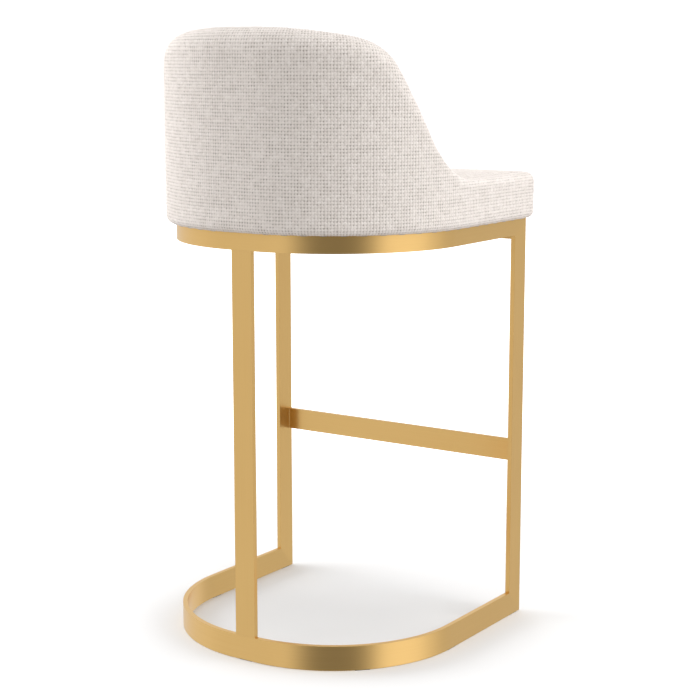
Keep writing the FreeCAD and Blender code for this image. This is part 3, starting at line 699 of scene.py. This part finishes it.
def make_cushion(material):
    outline = cushion_outline()
    half_width = outline[:, 0].max()
    columns = int(half_width / STEP - 0.35)
    xs = np.concatenate([[-half_width], STEP * np.arange(-columns, columns + 1), [half_width]])
    flat, row, counts, lows, highs = fill_outline(outline, xs, FRONT + CUSHION_SPLIT, RISE)
    column = np.repeat(np.arange(-columns - 1, columns + 2), counts)

    def top_height(x, y):
        depth = nearest_on(outline, np.column_stack([x, y]))[0]
        inner = np.clip(1 - depth / CUSHION_EDGE, 0, 1)
        edge = (1 - inner**ROUND_POWER) ** (1 / ROUND_POWER)
        crown = 1 - (1 - np.clip(depth / CROWN_REACH, 0, 1)) ** 2
        return SEAT_TOP - CUSHION_DROP * (1 - edge) + CUSHION_CROWN * crown

    swell = np.zeros(len(flat))
    spacing = (STEP * SIM_CELLS, RISE * SIM_CELLS)
    size = (int(2 * half_width / spacing[0]) + 2, int((REAR - FRONT) / spacing[1]) + 2)
    corner_x, corner_y = -half_width, lows.min()

    def place(u, v):
        x, y = u + corner_x, v + corner_y
        return np.column_stack([x, y, top_height(x, y)])

    def inside(u, v):
        x, y = u + corner_x, v + corner_y
        return (np.abs(x) <= half_width) & (y > np.interp(x, xs, lows)) & (y < np.interp(x, xs, highs))

    lattice = swelled(place, inside, size, spacing, SEAT_CAP)
    swell = sample_lattice(lattice, (flat[:, 0] - corner_x) / spacing[0],
                           (flat[:, 1] - corner_y) / spacing[1])
    height = top_height(flat[:, 0], flat[:, 1]) + swell
    points = np.column_stack([flat, height])
    faces, starts = column_faces(counts, row)
    points = woven(points, faces, weave_relief(column + 640, row + 640, 23))
    ends = starts + counts - 1
    ring = np.concatenate([np.arange(starts[0], ends[0] + 1)[::-1], starts[1:-1],
                           np.arange(starts[-1], ends[-1] + 1), ends[1:-1][::-1]])
    border = points[ring]
    centre = np.array([0.0, (lows.min() + highs.max()) / 2])
    toward = (border[:, :2] - centre) / np.linalg.norm(border[:, :2] - centre, axis=1)[:, None]
    block = border[:, :2] - toward * (CUSHION_RIM - CUSHION_BLOCK)
    shelf, foot = FOAM_TOP - CUSHION_SINK, BOARD_TOP + HAIR
    levels = [(border[:, :2], np.minimum(shelf, border[:, 2] - HAIR)), (block, shelf), (block, foot)]
    extra = [np.column_stack([spots, np.broadcast_to(z, len(ring))]) for spots, z in levels]
    rings = [ring] + [len(points) + len(ring) * k + np.arange(len(ring)) for k in range(3)]
    count = len(points) + 3 * len(ring)
    extra.append(np.array([[centre[0], centre[1], foot]]))
    closing = [band(rings[k], rings[k + 1])[:, ::-1] for k in range(3)]
    middle = np.full(len(ring), count)
    closing.append(np.stack([rings[3], middle, middle, np.roll(rings[3], -1)], 1))
    all_faces = np.concatenate([faces] + closing)
    across, up = flat[:, 0] / STEP / PER_YARN, flat[:, 1] / RISE / PER_YARN
    return cloth_piece("seat_cushion", points, extra, all_faces, across, up, material)


# ---- inside of the back
PANEL_FACE = -0.0305        # plan of the sitter's side, from the frame's outer face
PANEL_REAR = 0.0008         # its rear, against the plywood shell
PANEL_ROUND = 0.012         # rounding of its upper edge into the seam
PANEL_TUCK = 0.004
PANEL_FULL = 0.22           # share of the back from which it is hidden that far
PANEL_START = 0.001         # share of the back at which it starts, in front of the arms
LEAST_SLOPE = 0.4           # of the edge, where what is hidden is measured straight up
PANEL_HIDE = 0.006          # how far it goes up behind the end of the edge roll
PANEL_CROWN = 0.004
PANEL_TALL = 0.12           # above the seat, where the panel is high enough for its full crown
PANEL_LEAST = 0.02


def make_inner_back(material):
    face = Plan(PANEL_FACE)
    along = STEP * np.arange(-int(face.half_round / STEP), int(face.half_round / STEP) + 1)
    outer_along = along_outside(face.at(along)[0])
    slope = on_border(outer_along, EDGE_UP[:, 1])
    share = on_border(outer_along, EDGE_SHARE)
    narrow = (BACK_WIDTH - RIM_WIDTH) * (1 - share)
    hidden = PANEL_HIDE * np.minimum(1, share / PANEL_FULL)
    top = on_border(outer_along, EDGE_END[:, 1]) + hidden / np.maximum(slope, LEAST_SLOPE)
    bottom = FOAM_TOP + 0.0006
    kept = np.nonzero(share > PANEL_START)[0]
    kept = np.arange(kept.min(), kept.max() + 1)
    along, top, slope, narrow = along[kept], top[kept], slope[kept], narrow[kept]
    last = np.ceil((top - bottom) / RISE - 0.35).astype(int)
    counts = last + 1
    column = np.repeat(np.arange(len(along)), counts)
    row = np.concatenate([np.arange(n) for n in counts])
    heights = np.minimum(bottom + row * RISE, np.repeat(top, counts))
    heights[np.cumsum(counts) - 1] = top

    def depth_at(s, z):
        """How far the cloth stands from the panel's plan, towards the sitter."""
        line = np.interp(s, along, top)
        level = np.interp(s, along, slope)
        below = np.clip((line - z) * level, 0, None)
        near = np.clip(1 - below / PANEL_ROUND, 0, 1)
        share = np.clip((z - SEAT_TOP) / np.maximum(line - SEAT_TOP, PANEL_LEAST), 0, 1)
        tall = np.clip((line - SEAT_TOP) / PANEL_TALL, 0, 1)
        return PANEL_CROWN * tall * np.sin(math.pi * share) ** 0.8 - PANEL_TUCK * near**2.2

    def at(s, z, extra_depth=0.0):
        spot, direction = face.at(s)
        inward = depth_at(s, z) + extra_depth - np.interp(s, along, narrow)
        return np.column_stack([spot - direction * inward[:, None], z])

    s = along[column]
    swell = np.zeros(len(s))
    spacing = (STEP * SIM_CELLS, RISE * SIM_CELLS)
    size = (int((along[-1] - along[0]) / spacing[0]) + 2, int((top.max() - bottom) / spacing[1]) + 2)

    def place_cloth(u, v):
        return at(u + along[0], v + bottom, np.zeros(len(u)))

    def inside(u, v):
        return (u + along[0] <= along[-1]) & (v + bottom < np.interp(u + along[0], along, top))

    lattice = swelled(place_cloth, inside, size, spacing, BACK_CAP)
    swell = sample_lattice(lattice, (s - along[0]) / spacing[0],
                           (heights - bottom) / spacing[1])
    points = at(s, heights, swell)
    faces, starts = column_faces(counts, row)
    ends = starts + counts - 1
    points = woven(points, faces, weave_relief(column + 64, row + 64, 37))
    ring = np.concatenate([starts, np.arange(starts[-1] + 1, ends[-1]), ends[::-1],
                           np.arange(starts[0] + 1, ends[0])[::-1]])
    spot, direction = face.at(s[ring])
    rear_top = np.minimum(heights[ring], np.repeat(top, counts)[ring])
    behind = np.column_stack([spot + direction * (PANEL_REAR - PANEL_FACE), rear_top])
    rings = [ring, len(points) + np.arange(len(ring))]
    closing = band(rings[0], rings[1])[:, ::-1]
    rear_starts = len(points) + np.arange(len(starts))
    rear_ends = len(points) + len(starts) + (ends[-1] - starts[-1] - 1) + np.arange(len(ends))[::-1]
    rear_faces = np.stack([rear_starts[:-1], rear_ends[:-1], rear_ends[1:], rear_starts[1:]], 1)
    all_faces = np.concatenate([faces, closing, rear_faces])
    across, up = s / STEP / PER_YARN, row / PER_YARN
    return cloth_piece("inner_back", points, [behind], all_faces, across, up, material)


# ---- finishes
BRASS_BRIGHT = (0.90, 0.600, 0.235, 1)
BRASS_DEEP = (0.865, 0.563, 0.212, 1)
BRUSH_LINES = 1400.0        # lines a metre across the brushing
BRUSH_RUN = 5.0             # and how soon they change along it
CLOUD = 5.0                 # broad patches of tone a metre
SCRATCH_DEPTH = 0.000012
BRASS_EDGE = 0.0007         # the bars' edges look rounded by this much


def brushed_brass(name, run):
    """Brass brushed up and down a leg, along a cross bar, or round a ring."""
    finish = Finish(name, Metallic=1.0, Anisotropic=0.65)
    x, y, z = finish.place()
    if run == "leg":
        lines = finish.vector((x, BRUSH_LINES), (y, BRUSH_LINES), (z, BRUSH_RUN))
    elif run == "bar":
        lines = finish.vector((x, BRUSH_RUN), (y, BRUSH_LINES), (z, BRUSH_LINES))
    else:
        outline = Plan(0.0)
        aside = finish.math("SUBTRACT", finish.math("ABSOLUTE", x), outline.bend_x)
        rearward = finish.math("SUBTRACT", y, outline.bend_y)
        squares = [finish.math("POWER", finish.math("MAXIMUM", part, 0.0), 2.0) for part in (aside, rearward)]
        across = finish.plus(z, finish.math("SQRT", finish.plus(*squares)))
        lines = finish.vector((x, BRUSH_RUN), (y, BRUSH_RUN), (across, BRUSH_LINES))
    if run != "leg":
        finish.give("Anisotropic Rotation", 0.25)
    finish.give("Tangent", finish.add("Tangent", {}, direction_type="RADIAL", axis="Z").outputs[0])
    scratches = finish.noise(lines, 3.0, 0.6)
    tone = finish.sum_of(scratches, 0.65, finish.specks(CLOUD, 2.0), 0.35)
    finish.colour(tone, 0.32, 0.68, BRASS_DEEP, BRASS_BRIGHT)
    finish.give("Roughness", finish.spread(scratches, 0.25, 0.75, 0.29, 0.36))
    finish.bump(scratches, SCRATCH_DEPTH, 1.0, edge=BRASS_EDGE)
    return finish.material


CREAM = (0.90, 0.845, 0.81, 1)
CREAM_SHADE = (0.81, 0.75, 0.71, 1)
# painted shade: the colour that darkens the open corners between yarns
PAINTED_GAP_SHADE = (0.36, 0.32, 0.285, 1)


YARN_WANDER = 0.22          # how far a yarn strays, in yarns
YARN_ROUND = 0.45           # how much a yarn dips where it goes under
GAP_FROM, GAP_TO = 0.08, 0.34  # from the line between yarns, in yarns
GROOVE_PAINTED_SHADE = 0.22          # how dark the painted shade in the grooves is, beside the open corners


def basket_weave():
    """Chunky cream cloth: yarns that cross over and under, with open corners between them, darkened by
    painted shade in the corners and the grooves.
    """
    finish = Finish("cream_basket_weave", Roughness=0.92, Sheen_Weight=0.12, Sheen_Roughness=0.6,
                    Specular_IOR_Level=0.25)
    cloth = finish.add("UVMap", {}, uv_map="cloth").outputs[0]
    split = finish.add("SeparateXYZ", {0: cloth}).outputs
    wander = finish.math("SUBTRACT", finish.noise(cloth, 2.0, scale=0.9), 0.5)
    u = finish.plus(split[0], finish.times(wander, YARN_WANDER))
    v = finish.plus(split[1], finish.times(wander, -YARN_WANDER))
    cell_u, cell_v = finish.math("FLOOR", u), finish.math("FLOOR", v)
    turn = finish.math("MODULO", finish.plus(cell_u, cell_v), 2.0)
    warp_over = finish.math("LESS_THAN", finish.math("ABSOLUTE", turn), 0.5)
    round_u, round_v = (finish.math("SINE", finish.times(finish.math("FRACT", along), math.pi))
                        for along in (u, v))
    warp = finish.times(round_u, finish.plus(finish.times(round_v, YARN_ROUND), 1 - YARN_ROUND))
    weft = finish.times(round_v, finish.plus(finish.times(round_u, YARN_ROUND), 1 - YARN_ROUND))
    fibres_up = finish.noise(finish.vector((u, 15.0), (v, 2.5), (u, 0.0)), 2.0)
    fibres_across = finish.noise(finish.vector((u, 2.5), (v, 15.0), (u, 0.0)), 2.0)

    def chosen(first, second):
        """The first where the warp lies on top, the second where the weft does."""
        return finish.sum_of(first, warp_over, second, finish.math("SUBTRACT", 1.0, warp_over))

    yarn, fibres = chosen(warp, weft), chosen(fibres_up, fibres_across)
    slub_up = finish.noise(finish.vector((cell_u, 1.7), (v, 0.22), (u, 0.0)), 1.0)
    slub_across = finish.noise(finish.vector((u, 0.22), (cell_v, 1.7), (u, 0.0)), 1.0)
    gap_u, gap_v = (finish.spread(finish.math("PINGPONG", along, 0.5), GAP_FROM, GAP_TO, 1.0, 0.0)
                    for along in (u, v))
    patchy = finish.sum_of(finish.noise(cloth, 3.0, scale=0.35), 0.6,
                           finish.noise(cloth, 1.0, scale=1.1), 0.4)
    openness = finish.spread(patchy, 0.36, 0.62, 0.25, 1.0)
    # painted shade, darkening the open corners and the grooves between yarns, more in some patches
    groove_painted_shade = finish.times(finish.math("MAXIMUM", gap_u, gap_v), GROOVE_PAINTED_SHADE)
    dark = finish.times(finish.math("MAXIMUM", finish.times(gap_u, gap_v), groove_painted_shade), openness)
    shade = finish.sum_of(fibres, 0.5, chosen(slub_up, slub_across), 0.5)
    yarn_colour = finish.mix(finish.spread(shade, 0.36, 0.62), CREAM_SHADE, CREAM)
    finish.give("Base Color", finish.mix(dark, yarn_colour, PAINTED_GAP_SHADE))
    finish.bump(finish.plus(yarn, finish.times(fibres, 0.3)), 0.0007, 0.9)
    return finish.material


DUST_BLACK, DUST_FLECK = (0.012, 0.012, 0.013, 1), (0.035, 0.034, 0.034, 1)
BIRCH_DARK, BIRCH_PALE = (0.40, 0.255, 0.13, 1), (0.66, 0.49, 0.30, 1)
ZINC_DARK, ZINC_PALE = (0.46, 0.47, 0.49, 1), (0.66, 0.67, 0.68, 1)
NYLON_DARK, NYLON_PALE = (0.018, 0.017, 0.016, 1), (0.045, 0.043, 0.04, 1)
PLY = 0.003                 # thickness of one ply of the plywood
THREAD = 3100.0             # the dust cloth's threads, in radians a metre


def black_cloth():
    finish = Finish("black_dust_cloth", Roughness=0.95)
    along_and_across = finish.place()[:2]
    threads = finish.times(*(finish.math("SINE", finish.times(part, THREAD)) for part in along_and_across))
    flecks = finish.specks(300.0, 3.0)
    finish.colour(flecks, 0.3, 0.7, DUST_BLACK, DUST_FLECK)
    finish.bump(finish.plus(threads, flecks), 0.0002, 0.7)
    return finish.material


def birch_plywood():
    finish = Finish("birch_plywood", Roughness=0.62)
    x, y, z = finish.place()
    grain = finish.noise(finish.vector((x, 9.0), (y, 160.0), (z, 90.0)), 4.0, 0.6)
    plies = finish.math("SINE", finish.times(z, 2 * math.pi / PLY))
    finish.colour(finish.plus(grain, finish.times(plies, 0.06)), 0.3, 0.72, BIRCH_DARK, BIRCH_PALE)
    finish.bump(grain, 0.0002, 0.5)
    return finish.material


def zinc_steel():
    finish = Finish("zinc_plated_steel", Metallic=1.0)
    spangle = finish.specks(420.0, 3.0)
    finish.colour(spangle, 0.35, 0.65, ZINC_DARK, ZINC_PALE)
    finish.give("Roughness", finish.spread(spangle, 0.3, 0.7, 0.28, 0.48))
    finish.bump(spangle, 0.00005, 0.8, edge=0.0003)
    return finish.material


def glide_nylon():
    finish = Finish("dark_nylon", Subsurface_Weight=0.02)
    grain = finish.specks(900.0, 2.0)
    finish.colour(grain, 0.3, 0.7, NYLON_DARK, NYLON_PALE)
    finish.give("Roughness", finish.spread(grain, 0.3, 0.7, 0.42, 0.6))
    finish.bump(grain, 0.00006, 0.6, edge=0.0002)
    return finish.material


# ---- dust cover and staples
DUST_SAG = 0.0024
DUST_GRID = 0.006
DUST_SPLIT = 0.06           # from the front to where its front outline ends
DUST_TIGHT, DUST_SLACK = 0.034, 0.11  # stapled border, and how far on the sag is full


def make_dust_cover(material):
    """Black cloth stretched under the board, sagging a little between its staples."""
    low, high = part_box("dust_cover")
    edge = Plan(-low.x - RING_BOX[1].x)
    along = np.linspace(-edge.half_round, edge.half_round, 1600, endpoint=False)
    outline = edge.at(along)[0]
    columns = int(edge.half_width / DUST_GRID - 0.3)
    xs = np.concatenate([[-edge.half_width + 1e-5], DUST_GRID * np.arange(-columns, columns + 1),
                         [edge.half_width - 1e-5]])
    flat, rows, counts = fill_outline(outline, xs, edge.front + DUST_SPLIT, DUST_GRID)[:3]
    depth, nearest = nearest_on(outline, flat)
    sag = np.clip((depth - DUST_TIGHT) / DUST_SLACK, 0, 1)
    pucker = 0.00018 * np.sin(nearest / len(outline) * 110 * math.pi) * np.exp(-depth / 0.012)
    height = high.z - 0.0004 - DUST_SAG * sag * sag * (3 - 2 * sag) + pucker
    faces = column_faces(counts, rows)[0][:, ::-1]
    piece = mesh_piece("dust_cover_cloth", np.column_stack([flat, height]), faces, None, material)
    cut_off = (2 - math.pi / 2) * (edge.bend**2 + edge.corner**2)    # square corners less round ones
    return piece, (high.x - low.x, high.y - low.y), 2 * edge.half_width * (high.y - low.y) - cut_off


STAPLE_WIRE = 0.00035       # radius
STAPLE_CROWN = 0.0100
STAPLE_LEG = 0.0009         # what shows of each leg above the cloth


def staple_tree():
    """Geometry nodes: a bent wire staple on every point, turned by the point's 'turn'."""
    tree = bpy.data.node_groups.new("staple_row", "GeometryNodeTree")
    face = tree.interface
    face.new_socket("Geometry", in_out="INPUT", socket_type="NodeSocketGeometry")
    for name in ("Wire radius", "Crown width", "Leg length"):
        face.new_socket(name, in_out="INPUT", socket_type="NodeSocketFloat")
    face.new_socket("Steel", in_out="INPUT", socket_type="NodeSocketMaterial")
    face.new_socket("Geometry", in_out="OUTPUT", socket_type="NodeSocketGeometry")
    nodes = Nodes(tree)
    given = nodes.add("NodeGroupInput").outputs

    def corner(x_sign, z):
        """A corner of the staple: half the crown to one side, at the crown or a leg's end."""
        place = {"Y": nodes.times(given["Crown width"], x_sign / 2)}
        if z:
            place["Z"] = given["Leg length"]
        return nodes.add("CombineXYZ", place).outputs[0]

    joined = nodes.add("GeometryNodeJoinGeometry")
    for first, second in (((-1, 1), (-1, 0)), ((-1, 0), (1, 0)), ((1, 0), (1, 1))):
        ends = {"Start": corner(*first), "End": corner(*second)}
        nodes.put(joined.inputs[0], nodes.add("GeometryNodeCurvePrimitiveLine", ends).outputs[0])
    section = nodes.add("GeometryNodeCurvePrimitiveCircle", {"Resolution": 8, "Radius": given["Wire radius"]})
    wire = nodes.add("GeometryNodeCurveToMesh", {
        "Curve": joined.outputs[0], "Profile Curve": section.outputs[0], "Fill Caps": True})
    turn = nodes.add("GeometryNodeInputNamedAttribute", {"Name": "turn"}, data_type="FLOAT")
    angles = nodes.add("CombineXYZ", {"Z": turn.outputs[0]})
    spin = nodes.add("FunctionNodeEulerToRotation", {0: angles.outputs[0]})
    on_points = nodes.add("GeometryNodeInstanceOnPoints", {
        "Points": given["Geometry"], "Instance": wire.outputs[0], "Rotation": spin.outputs[0]})
    real = nodes.add("GeometryNodeRealizeInstances", {0: on_points.outputs[0]})
    finish = nodes.add("GeometryNodeSetMaterial", {
        "Geometry": real.outputs[0], "Material": given["Steel"]})
    nodes.add("NodeGroupOutput", {0: finish.outputs[0]})
    return tree


def staple_places(node):
    """Middle and direction of every staple of a CAD node."""
    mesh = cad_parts[node].data
    corners = np.empty(len(mesh.vertices) * 3, np.float32)
    mesh.vertices.foreach_get("co", corners)
    left = corners.reshape(-1, 3).astype(float)
    found = []
    while len(left):
        mine = np.hypot(*(left[:, :2] - left[0, :2]).T) < STAPLE_CROWN * 1.3
        staple, left = left[mine], left[~mine]
        middle = (staple.min(0) + staple.max(0)) / 2
        spread = staple[:, :2] - staple[:, :2].mean(0)
        direction = np.linalg.eigh(spread.T @ spread)[1][:, 1]     # the crown's run
        found.append((middle, math.atan2(direction[1], direction[0]) - math.pi / 2))
    return found


def make_staples(name, node, tree, material):
    found = staple_places(node)
    mesh = bpy.data.meshes.new(name)
    mesh.from_pydata([tuple(middle) for middle, turn in found], [], [])
    turns = mesh.attributes.new("turn", "FLOAT", "POINT")
    turns.data.foreach_set("value", [turn for middle, turn in found])
    points = new_object(name + "_points", mesh)
    rows = points.modifiers.new("staples", "NODES")
    rows.node_group = tree
    values = {"Wire radius": STAPLE_WIRE, "Crown width": STAPLE_CROWN - 2 * STAPLE_WIRE,
              "Leg length": STAPLE_LEG, "Steel": material}
    for item in tree.interface.items_tree:
        if item.in_out == "INPUT" and item.name in values:
            rows[item.identifier] = values[item.name]
    graph = bpy.context.evaluated_depsgraph_get()
    made = bpy.data.meshes.new_from_object(points.evaluated_get(graph), depsgraph=graph)
    bpy.data.objects.remove(points)
    if not made.materials:
        made.materials.append(material)
    return new_object(name, made)


make_camera()
make_world()
make_floor()
make_lamps()
cream = basket_weave()
tub = make_tub(cream)
cushion = make_cushion(cream)
inner_back = make_inner_back(cream)
for piece, nodes in ((tub, ("outer_cover", "crest_cover", "edge_roll", "outer_wadding")),
                     (cushion, ("seat_cover", "seat_topper", "seat_foam")),
                     (inner_back, ("inner_back_cover", "back_padding"))):
    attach(piece, "root")
    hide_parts(*nodes)

dust_cloth, dust_size, dust_area = make_dust_cover(black_cloth())
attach(dust_cloth, "root")
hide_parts("dust_cover")

steel = zinc_steel()
staple = staple_tree()
for node in ("hem_staples", "dust_cover_staples"):
    row = make_staples(node.replace("staples", "wire_staples"), node, staple, steel)
    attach(row, "root")
    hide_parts(node)

leg_brass = brushed_brass("brass_brushed_up_and_down", "leg")
bar_brass = brushed_brass("brass_brushed_along", "bar")
ring_brass = brushed_brass("brass_brushed_round", "ring")
plywood = birch_plywood()
nylon = glide_nylon()
FINISHES = (
    (leg_brass, ("front_leg_left", "front_leg_right", "rear_leg", "corner_welds")),
    (bar_brass, ("footrest_bar", "front_rail", "mounting_lugs")),
    (ring_brass, ("base_ring", "top_ring")),
    (steel, ("lug_washers", "lug_screws", "tee_nuts", "apron_screws", "shell_brackets",
             "board_screws", "shell_screws")),
    (plywood, ("seat_board", "front_apron", "back_shell")),
    (nylon, ("floor_glides",)))
for material, nodes in FINISHES:
    for node in nodes:
        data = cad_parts[node].data
        data.materials.clear()
        data.materials.append(material)
bpy.context.scene.view_settings.view_transform = "Standard"
